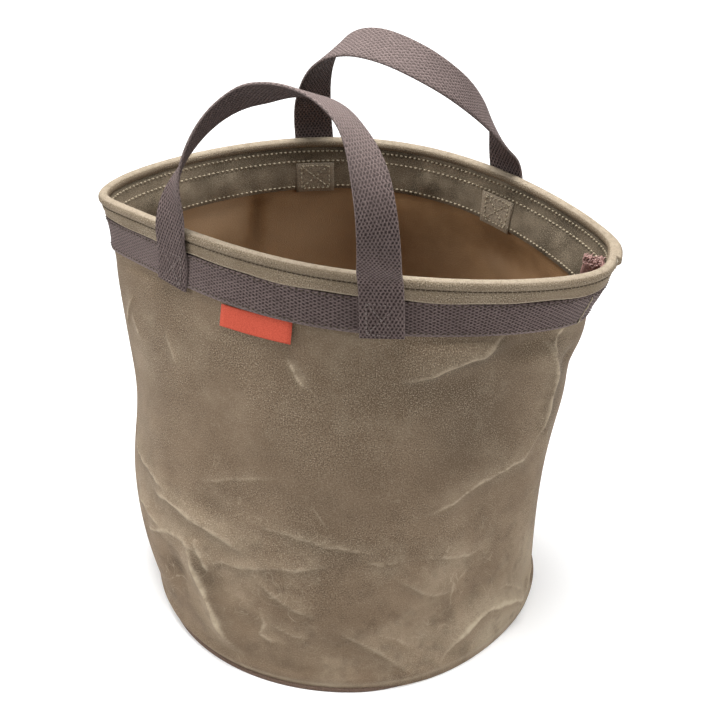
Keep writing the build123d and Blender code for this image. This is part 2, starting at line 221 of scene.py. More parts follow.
# Creases of the wall: rise, reach on the upper or left side and on the other, wear with its painted
# highlight, and the line to follow, as distances along the front and heights in turn
CREASES = {
    "band_buckle": (8.5, 18, 5, 0.7, (100, 276, 110, 271, 127, 263, 143, 259, 157, 255, 172, 250, 186, 245)),
    "seam_knot": (2.3, 8, 5, 0.8, (48, 269, 60, 260, 62, 253, 58, 243)),
    "seam_ridge": (6.5, 7, 12, 0.9, (72, 262, 60, 245, 47, 226, 44, 208, 45, 192, 48, 180, 60, 169)),
    "seam_branch": (2.0, 6, 5, 0.5, (45, 178, 33, 159, 30, 150)),
    "seam_tail": (3.5, 14, 8, 0.8, (50, 173, 57, 169, 70, 160, 83, 158, 108, 155, 140, 146, 170, 138)),
    "right_foot": (6.5, 8, 18, 1.5, (26, 14, 56, 26, 86, 34, 105, 36, 127, 33, 146, 24, 160, 10)),
    "right_edge": (2.7, 6, 6, 0.7, (38, 20, 24, 30, 13, 42)),
    "right_mark": (2.0, 6, 5, 0.6, (38, 28, 42, 30, 59, 38, 75, 47, 90, 46)),
    "low_mark_short": (1.1, 5, 5, 0.5, (182, 106, 189, 107, 201, 107, 210, 108)),
    "low_mark_long": (2.0, 10, 5, 0.6, (108, 93, 117, 94, 130, 94, 138, 95, 163, 104, 172, 107)),
    "low_mark_bent": (1.9, 9, 5, 0.4, (138, 66, 147, 68, 160, 72, 171, 76, 185, 87, 192, 93)),
    "hem_mark_right": (1.2, 6, 5, 0.5, (180, 32, 186, 36, 196, 44, 204, 49)),
    "hem_fold_front": (3.1, 10, 12, 0.6, (176, 9, 184, 15, 191, 21, 201, 32, 214, 42, 226, 50)),
    "far_ridge_high": (3.5, 10, 6, 1.0, (350, 118, 361, 118, 392, 117, 426, 119, 440, 121)),
    "far_ridge_long": (4.7, 13, 6, 1.0, (284, 99, 291, 103, 305, 107, 324, 110, 351, 111, 376, 107)),
    "far_ridge_low": (3.1, 8, 6, 0.8, (354, 80, 364, 85, 407, 81, 418, 80)),
    "far_hem": (3.5, 10, 8, 0.9, (314, 84, 322, 88, 331, 90, 349, 85, 387, 65)),
    "left_fold": (7.0, 10, 6, 1.2, (330, 94, 326, 88, 321, 79, 313, 61, 306, 51, 300, 39, 295, 32, 284, 16)),
    "left_fold_twin": (3.1, 6, 5, 0.9, (306, 72, 311, 80, 319, 91, 323, 97)),
    "middle_line": (2.5, 12, 5, 0.6, (228, 106, 239, 103, 249, 99, 259, 96, 282, 90, 299, 87, 312, 78)),
    "faint_line": (1.2, 10, 6, 0.4, (266, 167, 274, 164, 302, 152, 324, 142)),
    "short_line": (1.9, 10, 5, 0.6, (205, 114, 225, 119, 250, 123, 260, 124, 270, 125, 280, 127)),
    "low_left_mark": (2.3, 8, 5, 0.5, (240, 60, 247, 64, 260, 69, 265, 72, 276, 83)),
    "hem_hook": (1.9, 6, 5, 0.7, (256, 37, 265, 36, 272, 39, 269, 48, 275, 58)),
    "hem_dash": (1.1, 5, 4, 0.5, (244, 42, 250, 44, 260, 47, 266, 49)),
    "scuff": (0.6, 5, 5, 1.3, (249, 239, 252, 243, 255, 247, 262, 257)),
    "band_streak_far": (2.3, 6, 6, 0.8, (416, 256, 419, 250, 427, 238, 436, 218)),
    "band_streak_near": (1.9, 6, 6, 0.7, (420, 240, 417, 236, 408, 226, 402, 220)),
    "band_streak_left": (1.6, 6, 6, 0.6, (352, 220, 356, 226, 363, 238, 366, 244)),
    "back_crimp": (4.0, 12, 4, 0.2, (607, 292, 601, 264, 597, 238, 590, 208)),
    "back_fold_high": (2.3, 12, 8, 0.6, (560, 250, 600, 215, 640, 200)),
    "back_fold_low": (3.1, 12, 8, 0.6, (600, 120, 660, 90, 730, 100)),
    "back_fold_seam": (3.1, 10, 8, 0.7, (905, 250, 890, 200, 850, 170)),
    "back_pull": (2.3, 10, 8, 0.5, (760, 60, 800, 80, 840, 70)),
    "back_drape": (3.1, 16, 12, 0.4, (690, 262, 700, 215, 735, 160, 790, 130)),
    "back_slant": (3.1, 18, 10, 0.4, (780, 255, 815, 215, 860, 190)),
}
# Hollows and swells between the creases: distance along the front, height, depth out, reach along and up
HOLLOWS = {
    "left_low": (341, 54, -6.0, 15, 15),
    "left_high": (314, 123, -4.0, 16, 11),
    "left_middle": (300, 66, -3.5, 10, 12),
    "right_low": (170, 45, -4.0, 16, 13),
    "right_fold": (126, 50, -4.0, 24, 10),
    "right_hollow": (124, 188, -6.0, 42, 40),
    "middle_hollow": (215, 128, -3.0, 60, 20),
    "seam_side": (49, 191, -3.5, 14, 22),
    "under_band": (88, 258, -5.0, 26, 9),
    "under_buckle": (140, 240, -5.0, 34, 13),
    "seam_notch": (931, 27, -3.0, 22, 8),
    "seam_pinch": (37, 235, -4.0, 12, 8),
    "far_swell": (376, 150, 3.0, 40, 22),
    "right_foot_swell": (80, 18, 3.0, 40, 11),
    "hem_hollow": (228, 34, -3.5, 18, 12),
    "hem_dip_left": (282, 44, -2.5, 12, 10),
    "inside_left": (560, 180, -4.0, 40, 50),
    "inside_middle": (680, 210, 4.0, 45, 40),
    "inside_right": (800, 170, -4.0, 40, 45),
}
# Painted shade on the lower side of a crease, for each millimetre that it rises
FOLD_SHADE = 0.075
# Painted light and shade on the wall, darker or paler: distance along the front, height, amount, reach along
# and up
WALL_LIGHT_AND_SHADE = {
    "middle_dark": (228, 205, -0.2, 45, 70),
    "right_dark": (125, 205, -0.6, 48, 48),
    "band_dark": (105, 262, -0.7, 60, 11),
    "buckle_dark": (158, 240, -0.35, 40, 12),
    "low_dark": (205, 112, -0.3, 75, 12),
    "seam_dark": (40, 215, -0.4, 14, 40),
    "left_dent_dark": (343, 58, -0.5, 10, 12),
    "left_side_dark": (312, 124, -0.3, 16, 9),
    "foot_pale": (92, 26, 0.6, 46, 24),
    "right_edge_pale": (36, 60, 0.6, 28, 34),
    "corner_pale": (72, 11, 1.25, 62, 15),
    "seam_hem_pale": (16, 36, 0.6, 18, 36),
    "hem_pale": (205, 30, 0.1, 70, 22),
    "left_pale": (332, 96, 0.3, 22, 20),
    "left_hem_pale": (300, 34, 0.1, 60, 26),
    "far_pale": (440, 120, 0.3, 40, 90),
}
# The same painted light and shade for the inside
INSIDE_LIGHT_AND_SHADE = {
    "far_light": (566, 272, 1.0, 36, 26),
    "fold_dark": (604, 258, -0.8, 7, 34),
    "middle_light": (655, 240, 1.0, 40, 36),
    "middle_dark": (752, 248, -0.4, 36, 40),
    "right_light": (800, 244, 0.45, 22, 10),
    "right_dark": (815, 272, -0.3, 24, 18),
    "seam_light": (850, 215, 0.3, 40, 40),
}
# Painted light and shade along the facing and the webbing band: amount, distance along the front and reach
FACING_LIGHT_AND_SHADE = {"far_pale": (0.15, 545, 60), "back_dark": (-0.12, 690, 60), "seam_dark": (-0.35, 890, 60)}
BAND_LIGHT_AND_SHADE = {"far_pale": (0.45, 400, 70), "middle_dark": (-0.3, 205, 60), "seam_pale": (0.2, 30, 30)}
# Waves: size, distance along the front and up for one radian, and phase
WALL_WAVES = ((1.1, 34.0, 95.0, 0.4), (0.8, -22.0, 48.0, 1.9), (0.6, 61.0, -31.0, 3.1))
CRINKLES_ALONG = ((0.8, 23.0, 7.3, 0.0), (0.3, math.inf, 3.1, 1.0))
CRINKLES_UP = ((0.7, 6.7, 31.0, 0.0), (0.3, 2.9, math.inf, 2.0))
TAIL_WAVES = ((0.5, 19.0, math.inf, 0.0), (0.35, 8.3, math.inf, 1.0))
FACING_WAVES = ((0.6, 5.3, math.inf, 0.0), (0.7, 9.1, math.inf, 1.0), (0.4, 3.1, math.inf, 2.0))
# Share of a crease's length over which it fades at each end
CREASE_FADE = (-0.06, 0.26)
# Heights over which the canvas comes loose, and drops below the rim over which the band holds it again
LOOSE_ABOVE = (3, 24)
HELD_ABOVE = (54, 45)
# Width of a worn line and of the painted highlight beside it: at no rise, and more for each millimetre of
# rise
WORN_LINE = (0.8, 0.14)
HIGHLIGHT_HALO = (4.0, 1.4)
# The worn line's width goes up and down along it: mean share, swing and radians over its length
WORN_MEAN = 0.95
WORN_SWING = 0.35
WORN_WAVES = 19
# Strength of the painted highlight beside a crease, on its upper and on its lower side
UPPER_HIGHLIGHT = 0.26
LOWER_HIGHLIGHT = 0.08
# Reach of a fold's painted shade past its own
FOLD_REACH = 4.0
HEM_SWELL = 2.2
HEM_SPREAD = 5.0
HEM_HEIGHT = 9.0
HEM_WEAR = 0.45
HEM_LINE_HEIGHT = 6.5
HEM_LINE = 1.8
# Steps by which the wall's directions are taken
SMALL_TURN = 0.002
SMALL_RISE = 0.5
FOOT_TURN = 0.01


def line_at(path, front, height):
    """Distance on the flattened wall to a line, the side of it, and the share along it."""
    nearest = np.full(np.broadcast(front, height).shape, np.inf)
    side = np.zeros_like(nearest)
    place = np.zeros_like(nearest)
    length = 0.0
    points = np.reshape(path, (-1, 2))
    for (f0, h0), (df, dh) in zip(points, np.diff(points, axis=0)):
        size = math.hypot(df, dh)
        share = np.clip(((front - f0) * df + (height - h0) * dh) / size**2, 0, 1)
        distance = np.hypot(front - f0 - share * df, height - h0 - share * dh)
        closer = distance < nearest
        side = np.where(closer, df * (height - h0) - dh * (front - f0), side)
        place = np.where(closer, length + share * size, place)
        nearest = np.minimum(nearest, distance)
        length += size
    return nearest, side, place / length


def each_crease(front, height):
    """Every crease with its strength, distance, side and share along it at places on the wall."""
    # The places are shifted a little, so that no crease runs straight
    shifted = front + waves(CRINKLES_ALONG, front, height), height + waves(CRINKLES_UP, front, height)
    for crease in CREASES.values():
        distance, side, place = line_at(crease[-1], *shifted)
        yield crease, smooth(np.minimum(place, 1 - place), *CREASE_FADE), distance, side, place


def slack(front, height, top):
    """How far the loose canvas stands out of its plain form."""
    loose = smooth(height, *LOOSE_ABOVE) * (1 - smooth(height, top - HELD_ABOVE[0], top - HELD_ABOVE[1]))
    rise = waves(WALL_WAVES, front, height) + patches(HOLLOWS, front, height)
    for (size, left_reach, right_reach, _, _), strength, distance, side, _ in each_crease(front, height):
        rise = rise + size * strength * np.exp(-distance / np.where(side > 0, left_reach, right_reach))
    return rise * loose + HEM_SWELL * bump(height, HEM_HEIGHT, HEM_SPREAD)


def wear_and_highlight(front, height):
    """How far the wax has worn pale along the creases, with a painted highlight beside them, most on the
    upper side.
    """
    pale = HEM_WEAR * bump(height, HEM_LINE_HEIGHT, HEM_LINE)
    for (size, _, _, amount, _), strength, distance, side, place in each_crease(front, height):
        uneven = WORN_MEAN + WORN_SWING * np.sin(place * WORN_WAVES + size)
        width = (WORN_LINE[0] + WORN_LINE[1] * size) * uneven
        highlight = bump(distance, 0, HIGHLIGHT_HALO[0] + HIGHLIGHT_HALO[1] * size)
        highlight = highlight * np.where(side > 0, UPPER_HIGHLIGHT, LOWER_HIGHLIGHT)
        pale = np.maximum(pale, amount * strength * np.maximum(bump(distance, 0, width), highlight))
    return pale


def outer_light_and_shade(front, height):
    """Painted light and shade on the wall: broad patches, and painted shade on the lower side of each fold.
    """
    total = patches(WALL_LIGHT_AND_SHADE, front, height)
    for (size, _, reach, _, _), strength, distance, side, _ in each_crease(front, height):
        total = total - FOLD_SHADE * size * strength * (side < 0) * bump(distance, 0, FOLD_REACH + reach)
    return total


def base_radius(bearing):
    """Radius of the soft base, flattened a little at the front right."""
    return BASE_RADIUS - BASE_DENT * bump(bearing, BASE_DENT_BEARING, BASE_DENT_SPREAD)


def tucked(bearing):
    """Share by which the hem is turned under the base, at the front right."""
    started = smooth(bearing, TUCK_START, TUCK_START + TUCK_EASE)
    return started * (1 - smooth(bearing, TUCK_END - TUCK_EASE, TUCK_END))


def plain_wall(turn, height):
    """Point of the wall without its creases."""
    x, y = mouth(turn)
    share = height / (crown(turn) - ROLL_RADIUS)
    bearing = np.arctan2(y, x)
    inner = np.clip(share, 0, 1)
    far = FAR_SWELL * np.sin(np.pi * inner**FAR_POWER) ** FAR_SHARPNESS - bells(FAR_TUCKS, inner)
    seam = -SEAM_HOLLOW * np.sin(np.pi * inner**SEAM_POWER) - bells(SEAM_TUCKS, inner)
    push = np.where(x > 0, seam, far) * np.cos(bearing) ** 2 * smooth(height, 0, FOOT_EASE)
    reach = base_radius(bearing) * (1 - share) + push
    x, y = x * share + reach * np.cos(bearing), y * share + reach * np.sin(bearing)
    return np.stack([x, y, height + 0 * x], -1)


def wall_step(turn, height, step):
    """Way along the wall from a step before a turn to a step after it."""
    return plain_wall(turn + step, height) - plain_wall(turn - step, height)


def wall_normal(turn, height):
    """Direction out of the wall."""
    upward = plain_wall(turn, height + SMALL_RISE) - plain_wall(turn, height - SMALL_RISE)
    return unit(np.cross(wall_step(turn, height, SMALL_TURN), upward))


def on_wall(turn, drop, out):
    """Point at a distance below the top of the rim and out of the middle of the canvas."""
    turn, drop, out = np.broadcast_arrays(np.asarray(turn, float), drop, out)
    height = crown(turn) - drop
    return plain_wall(turn, height) + wall_normal(turn, height) * out[..., None]


def add_object(name, data):
    """Object in the scene."""
    thing = bpy.data.objects.new(name, data)
    bpy.context.scene.collection.objects.link(thing)
    return thing


def make_piece(name, points, faces, materials, face_uvs=None, face_slots=None, values=None):
    """Mesh object from points in millimetres."""
    mesh = bpy.data.meshes.new(name)
    mesh.from_pydata((np.asarray(points) * MM).tolist(), [], faces)
    for material in materials:
        mesh.materials.append(material)
    if face_slots is not None:
        mesh.polygons.foreach_set("material_index", np.asarray(face_slots, np.int32))
    if face_uvs is not None:
        layer = mesh.uv_layers.new(name="cloth")
        layer.data.foreach_set("uv", np.asarray(face_uvs, np.float32).ravel())
    for key, numbers in (values or {}).items():
        layer = mesh.attributes.new(key, "FLOAT", "POINT")
        layer.data.foreach_set("value", np.asarray(numbers, np.float32))
    mesh.polygons.foreach_set("use_smooth", np.ones(len(mesh.polygons), bool))
    mesh.validate()
    mesh.update()
    return add_object(name, mesh)


def corners(grid):
    """Four corners of every cell of a grid."""
    return np.stack([grid[:-1, :-1], grid[1:, :-1], grid[1:, 1:], grid[:-1, 1:]], 2)


def make_shell(name, grid, materials, marks=None, closed=True, slots=None, values=None):
    """Closed form from a grid of points, wrapped across and, if it isn't closed along, capped.

    A material that follows the flat cloth needs marks: the distances along it and across it.
    """
    nu, nv = grid.shape[:2]
    index = np.pad(np.arange(nu * nv).reshape(nu, nv), ((0, int(closed)), (0, 1)), "wrap")
    caps = () if closed else ((0, 1), (-1, -1))
    faces = corners(index).reshape(-1, 4).tolist()
    faces += [index[end, :-1][::order].tolist() for end, order in caps]
    uvs = None
    if marks is not None:
        cloth = np.stack(np.meshgrid(*marks, indexing="ij"), -1) * MM
        uvs = corners(cloth).reshape(-1, 2).tolist()
        for end, order in caps:
            uvs += cloth[end, :-1][::order].tolist()
    face_slots = None if slots is None else np.tile(slots, len(index) - 1)
    return make_piece(name, grid.reshape(-1, 3), faces, materials, uvs, face_slots, values)


def ring_piece(name, profile, materials, steps=RING_STEPS, change=None, edges=(), light_and_shade=()):
    """Strip sewn round the rim, from a closed profile of (drop, out)."""
    marks = np.linspace(0, ROUND, steps + 1)
    turn = turn_at(-marks[:-1])
    profile = np.asarray(profile, float)
    drop, out = profile.T[:, None]
    if change is not None:
        drop, out = change(turn[:, None], drop, out)
    pale = np.zeros((steps, len(profile)))
    pale[:, list(edges)] = 1
    # Painted light and shade along the strip
    painted_shading = np.zeros(steps) + bells(light_and_shade, front_at(turn))
    values = {"edge": pale.ravel(), "painted_shading": np.repeat(painted_shading, len(profile))}
    lengths = path_length(np.vstack([profile, profile[:1]]))
    return make_shell(name, on_wall(turn[:, None], drop, out), materials, (marks, lengths), values=values)


BEVEL_SHARE = 0.3


def strip_profile(top, bottom, inner, outer, across, soft=0.35):
    """Closed profile of a flat strip with softened edges, as (drop, out), outer face first."""
    down = np.linspace(top + soft, bottom - soft, across)
    bevel = (outer - inner) * BEVEL_SHARE
    near, far = inner + bevel, outer - bevel
    face = [(d, outer) for d in down] + [(bottom, far), (bottom, near)]
    return face + [(d, inner) for d in down[::-1]] + [(top, near), (top, far)]


def stacked(first, rings, sides):
    """Faces of a closed form made of rings of points, the first of which has a given number."""
    last = first + (rings - 1) * sides
    faces = [list(range(first, first + sides))[::-1]]
    for ring in range(first, last, sides):
        for n in range(sides):
            a, b = ring + n, ring + (n + 1) % sides
            faces.append((a, b, b + sides, a + sides))
    return faces + [list(range(last, last + sides))]


THREAD_SIDES = 6
THREAD_LIFT = 0.25


def stitch_piece(name, starts, ends, outs, thickness, material, lift=THREAD_LIFT):
    """Separate stitches, each a plump thread that dips into the cloth at both ends."""
    # Share of the length, share of the thickness, and height out of the cloth in thicknesses
    rings = ((0.0, 0.35, -0.5), (0.18, 0.85, 0.0), (0.5, 1.0, lift), (0.82, 0.85, 0.0), (1.0, 0.35, -0.5))
    share, fat, rise = np.array(rings).T[:, :, None, None]
    angle = np.arange(THREAD_SIDES)[:, None] * 2 * np.pi / THREAD_SIDES
    starts, ends, outs = (np.array(rows)[:, None, None] for rows in (starts, ends, outs))
    along = ends - starts
    side = unit(np.cross(along, outs))
    outs = unit(np.cross(side, along))
    points = starts + along * share + outs * (rise * thickness)
    points = points + (side * np.cos(angle) + outs * np.sin(angle)) * (fat * thickness / 2)
    firsts = range(0, points.size // 3, len(rings) * THREAD_SIDES)
    faces = [face for first in firsts for face in stacked(first, len(rings), THREAD_SIDES)]
    return make_piece(name, points.reshape(-1, 3), faces, [material])


def even_marks(pitch):
    """Marks at even steps right round the rim, about a pitch apart."""
    count = int(ROUND / pitch)
    return np.arange(count) * ROUND / count


def sew_row(name, marks, length, drop, out, thickness, material, facing=1):
    """Row of stitches from marks along the rim, facing outwards with 1 or inwards with -1."""
    turns = turn_at(marks)
    ends = on_wall(turn_at(marks + length), drop, out)
    outs = facing * wall_normal(turns, crown(turns) - drop)
    return stitch_piece(name, on_wall(turns, drop, out), ends, outs, thickness, material)


def settle(piece, slot, *nodes):
    """Piece rides on the bucket and stands for its nodes. The slot is not used."""
    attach(piece, "bucket")
    if nodes:
        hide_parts(*nodes)


class Nodes:
    """Small helper that adds and links nodes."""

    def __init__(self, tree):
        self.tree = tree

    def add(self, kind, settings=None, **inputs):
        """New node, whose inputs go by name, or by number after an underscore."""
        node = self.tree.nodes.new(kind)
        for key, value in (settings or {}).items():
            setattr(node, key, value)
        for key, value in inputs.items():
            self.feed(node.inputs[int(key[1:]) if key[0] == "_" else key], value)
        return node

    def feed(self, socket, value):
        """Link an output to a socket, or set a constant on it."""
        if hasattr(value, "is_output"):
            self.tree.links.new(value, socket)
        else:
            socket.default_value = value

    def math(self, operation, a, b=0.0):
        return self.add("ShaderNodeMath", {"operation": operation}, _0=a, _1=b).outputs[0]

    def vectors(self, operation, a, b):
        return self.add("ShaderNodeVectorMath", {"operation": operation}, _0=a, _1=b).outputs[0]

    def plus(self, a, b):
        return self.math("ADD", a, b)

    def times(self, first, *others):
        for other in others:
            first = self.math("MULTIPLY", first, other)
        return first

    def span(self, value, low, high, out_low=0.0, out_high=1.0):
        """Value moved from one range to another and held inside it."""
        ends = {"From Min": low, "From Max": high, "To Min": out_low, "To Max": out_high}
        return self.add("ShaderNodeMapRange", {"clamp": True}, Value=value, **ends).outputs["Result"]

    def seen(self):
        """1 for rays by which a thing is seen, and 0 for those that light the scene."""
        rays = self.add("ShaderNodeLightPath").outputs
        either = self.math("MAXIMUM", rays["Is Camera Ray"], rays["Is Glossy Ray"])
        return self.math("MAXIMUM", either, rays["Is Transmission Ray"])


class Shader(Nodes):
    """Material whose colour is laid on in steps."""

    def __init__(self, name, roughness):
        self.material = bpy.data.materials.new(name)
        self.material.use_nodes = True
        super().__init__(self.material.node_tree)
        self.surface = self.tree.nodes["Principled BSDF"].inputs
        self.surface["Roughness"].default_value = roughness
        self.surface["Specular IOR Level"].default_value = 0.15
        self.shade = None

    def cloth(self):
        """Coordinates on the flat cloth in metres."""
        return self.add("ShaderNodeUVMap", {"uv_map": "cloth"}).outputs["UV"]

    def place(self):
        """Coordinates on the object in metres."""
        return self.add("ShaderNodeTexCoord").outputs["Object"]

    def parts(self, vector):
        return self.add("ShaderNodeSeparateXYZ", None, Vector=vector).outputs

    def mark(self, name):
        """Value that the mesh carries at its points."""
        return self.add("ShaderNodeAttribute", {"attribute_name": name}).outputs["Fac"]

    def noise(self, vector, scale, detail=2.0, rough=0.5, output="Fac"):
        settings = {"Vector": vector, "Scale": scale, "Detail": detail, "Roughness": rough}
        return self.add("ShaderNodeTexNoise", **settings).outputs[output]

    def mix(self, share, a, b):
        a, b = (value if hasattr(value, "is_output") else (*value, 1.0) for value in (a, b))
        return self.add("ShaderNodeMix", {"data_type": "RGBA"}, _0=share, _6=a, _7=b).outputs[2]

    def lay(self, colour, *shares):
        """Lay a colour over the shade, by the product of its shares."""
        self.shade = self.mix(self.times(*shares), self.shade, colour)

    def done(self, height, distance, strength):
        """The material, with its colour and with bumps by a height."""
        node = self.add("ShaderNodeBump", None, Height=height, Strength=strength, Distance=distance)
        self.feed(self.surface["Normal"], node.outputs["Normal"])
        self.feed(self.surface["Base Color"], self.shade)
        return self.material


def dim(colour, share):
    return tuple(channel * share for channel in colour)


def woven_canvas(name, dark, light, pale, speckle, worn_and_shaded=False, crest_highlight=False, deep_lit=False, cloud_scale=22.0):
    """Tight canvas with a speckled grain and wax clouds, with painted light and shade from the mesh, worn
    lines with painted highlights along its creases, and a painted highlight on its crest.
    """
    shader = Shader(name, 0.75)
    cloth = shader.cloth()
    height = shader.parts(cloth)[1]
    grain = shader.noise(cloth, 1100.0, 2.0, 0.75)
    strength = shader.span(shader.noise(cloth, 15.0, 3.0, 0.55), 0.38, 0.62, 0.45 * speckle, speckle)
    clouds = shader.span(shader.noise(cloth, cloud_scale, 4.0, 0.6), 0.3, 0.7)
    shader.shade = shader.mix(clouds, dark, light)
    # Painted light and shade from the mesh: darker below 0, paler above
    painted_shading = shader.mark("painted_shading")
    shader.lay(dim(dark, 0.45), shader.span(painted_shading, 0.0, -1.0))
    shader.lay(pale, shader.span(painted_shading, 0.0, 1.0, 0.0, 0.6))
    if worn_and_shaded:
        low_down = shader.span(height, 0.05, 0.2, 1.0, 0.25)
        mottle = shader.span(shader.noise(cloth, 55.0, 5.0, 0.65), 0.5, 0.36, 0.0, 0.38)
        shader.lay(dim(dark, 0.5), mottle, low_down)
        strength = shader.times(strength, shader.span(height, 0.06, 0.16, 0.5, 1.0))
        # Darker towards the top, a painted shade
        shader.lay(dim(dark, 0.6), shader.span(height, 0.08, 0.24, 0.0, 0.3))
    shader.lay(pale, shader.span(grain, 0.54, 0.63), strength)
    shader.lay(dim(dark, 0.25), shader.span(grain, 0.47, 0.38), strength)
    if worn_and_shaded:
        broken = shader.span(shader.noise(cloth, 150.0, 3.0), 0.3, 0.6, 0.35, 1.0)
        # Worn pale lines along the creases, with painted highlights beside them
        shader.lay(pale, shader.mark("wear_and_highlight"), broken)
        # Pale wax bloom in patches, made stronger towards the bottom as painted light from below
        bloom_lit_low = shader.span(shader.noise(cloth, 16.0, 5.0, 0.7), 0.52, 0.68, 0.0, 0.4)
        shader.lay(pale, bloom_lit_low, shader.span(height, 0.02, 0.14, 0.9, 0.4))
        # Fine broken lines in the wax, between cells of a slightly bent cloth
        drift = shader.noise(cloth, 25.0, 2.0, output="Color")
        bent = shader.vectors("ADD", cloth, shader.vectors("MULTIPLY", drift, (0.007, 0.007, 1.0)))
        cells = shader.add("ShaderNodeTexVoronoi", {"feature": "DISTANCE_TO_EDGE"}, Vector=bent, Scale=24.0)
        lines = shader.span(cells.outputs["Distance"], 0.0, 0.03, 0.45, 0.0)
        shader.lay(pale, lines, shader.span(shader.noise(cloth, 21.0), 0.47, 0.6), low_down)
    # Paler deeper down the inside, a painted light
    if deep_lit:
        shader.lay(pale, shader.span(height, 0.37, 0.52, 0.0, 0.55))
    # Painted highlight where the mesh marks an edge: the roll's crest and the tail's lower edge
    if crest_highlight:
        patchy = shader.span(shader.noise(cloth, 240.0, 3.0), 0.3, 0.6, 0.3, 0.6)
        shader.lay(pale, shader.mark("edge"), patchy)
    return shader.done(grain, 0.0006, 0.7)


# Weave of the webbing in metres: a pair of rows along it, a pair of yarns across it, and the yarns' slant
ROW_PITCH = 0.0052
YARN_PITCH = 0.0024
YARN_SLANT = 0.14
WEAVE_DRIFT = 0.0019
WEAVE_FUZZ = 1.6
WEAVE_RIBS = 0.32


def woven_webbing(name, dark, light, pale):
    """Thick webbing: short plump yarns in staggered rows with dark holes between them, and pale edges."""
    shader = Shader(name, 0.85)
    cloth = shader.cloth()
    drift = shader.times(shader.plus(shader.noise(cloth, 420.0), -0.5), WEAVE_DRIFT)
    along, across = (shader.plus(part, drift) for part in shader.parts(cloth)[:2])
    rows = shader.math("SINE", shader.times(along, 2 * math.pi / ROW_PITCH))
    slant = shader.plus(across, shader.times(shader.math("PINGPONG", along, ROW_PITCH / 2), YARN_SLANT))
    yarns = shader.math("SINE", shader.times(slant, 2 * math.pi / YARN_PITCH))
    ribs = shader.math("COSINE", shader.times(along, 4 * math.pi / ROW_PITCH))
    fuzz = shader.noise(cloth, 1400.0, 2.0, 0.7)
    weave = shader.plus(shader.times(rows, yarns), shader.times(shader.plus(fuzz, -0.5), WEAVE_FUZZ))
    weave = shader.plus(weave, shader.times(ribs, WEAVE_RIBS))
    plump = shader.span(weave, -0.8, 0.4)
    hole = dim(dark, 0.45)
    shader.shade = shader.mix(plump, hole, light)
    shader.lay(dark, shader.span(shader.noise(cloth, 60.0, 3.0), 0.35, 0.65, 0.0, 0.35))
    shader.lay(pale, shader.span(weave, 0.35, 0.95, 0.0, 0.45))
    # Painted light and shade from the mesh: paler above 0, darker below
    painted_shading = shader.mark("painted_shading")
    shader.lay(pale, shader.span(painted_shading, 0.0, 1.0, 0.0, 0.5))
    shader.lay(hole, shader.span(painted_shading, 0.0, -1.0, 0.0, 0.7))
    shader.lay(pale, shader.mark("edge"), 0.4)
    return shader.done(shader.plus(plump, shader.times(fuzz, 0.3)), 0.001, 0.8)


def plain_weave(name, dark, light, scale):
    """Small tape, tag or thread with a fine grain."""
    shader = Shader(name, 0.8)
    grain = shader.noise(shader.place(), scale, 2.0, 0.6)
    shader.shade = shader.mix(shader.span(grain, 0.35, 0.65), dark, light)
    return shader.done(grain, 0.0004, 0.6)


WAXED = woven_canvas(
    "waxed_canvas", (0.151, 0.104, 0.065), (0.224, 0.161, 0.106), (0.43, 0.355, 0.255), 0.75, worn_and_shaded=True
)
INSIDE = woven_canvas(
    "canvas_inside", (0.140, 0.071, 0.028), (0.320, 0.188, 0.092), (0.52, 0.36, 0.22), 0.15, deep_lit=True,
    cloud_scale=13.0,
)
FACING = woven_canvas(
    "facing_canvas", (0.075, 0.058, 0.038), (0.248, 0.197, 0.137), (0.40, 0.33, 0.24), 0.5, cloud_scale=36.0
)
PATCH = woven_canvas("patch_canvas", (0.200, 0.158, 0.112), (0.320, 0.260, 0.190), (0.44, 0.37, 0.28), 0.7)
BINDING = woven_canvas(
    "binding_canvas", (0.150, 0.112, 0.072), (0.235, 0.184, 0.126), (0.44, 0.37, 0.28), 0.8, crest_highlight=True
)
STRAP = woven_webbing("cotton_webbing", (0.057, 0.040, 0.037), (0.145, 0.106, 0.100), (0.29, 0.23, 0.215))
TAPE = plain_weave("brown_tape", (0.112, 0.074, 0.055), (0.180, 0.122, 0.092), 900.0)
FRAY = plain_weave("frayed_tape", (0.190, 0.098, 0.084), (0.360, 0.215, 0.190), 900.0)
# The loose ends are a paler copy of the frayed tape, a painted highlight on the strands
LIT_FRAY_ENDS = plain_weave("lit_frayed_ends", (0.250, 0.138, 0.120), (0.500, 0.330, 0.300), 700.0)
STITCH = plain_weave("cotton_thread", (0.27, 0.225, 0.155), (0.45, 0.385, 0.28), 1200.0)
FOOT_STITCH = plain_weave("strap_thread", (0.145, 0.116, 0.107), (0.255, 0.210, 0.192), 1200.0)
# Near-black thread: the thread's own dark colour, deepened as painted shade of the groove along the tail's
# seam
SHADED_STITCH = plain_weave("shaded_binding_thread", (0.038, 0.028, 0.020), (0.074, 0.056, 0.040), 1200.0)
TAG = plain_weave("woven_tag", (0.40, 0.058, 0.033), (0.55, 0.098, 0.056), 1500.0)
CORD = plain_weave("cord", (0.40, 0.36, 0.28), (0.52, 0.48, 0.40), 700.0)

# Wall: outside from floor to rim, then inside back down, on a flat cloth that goes on past the rim
WALL_MARKS = np.concatenate(
    [np.linspace(0, ROUND / 2, BACK_STEPS, endpoint=False), np.linspace(ROUND / 2, ROUND, FRONT_STEPS + 1)]
)
OUTSIDE_ROWS = np.linspace(0, 315, WALL_STEPS)
INSIDE_ROWS = np.linspace(320, 635, LINING_STEPS)
LAST_ROW = 636


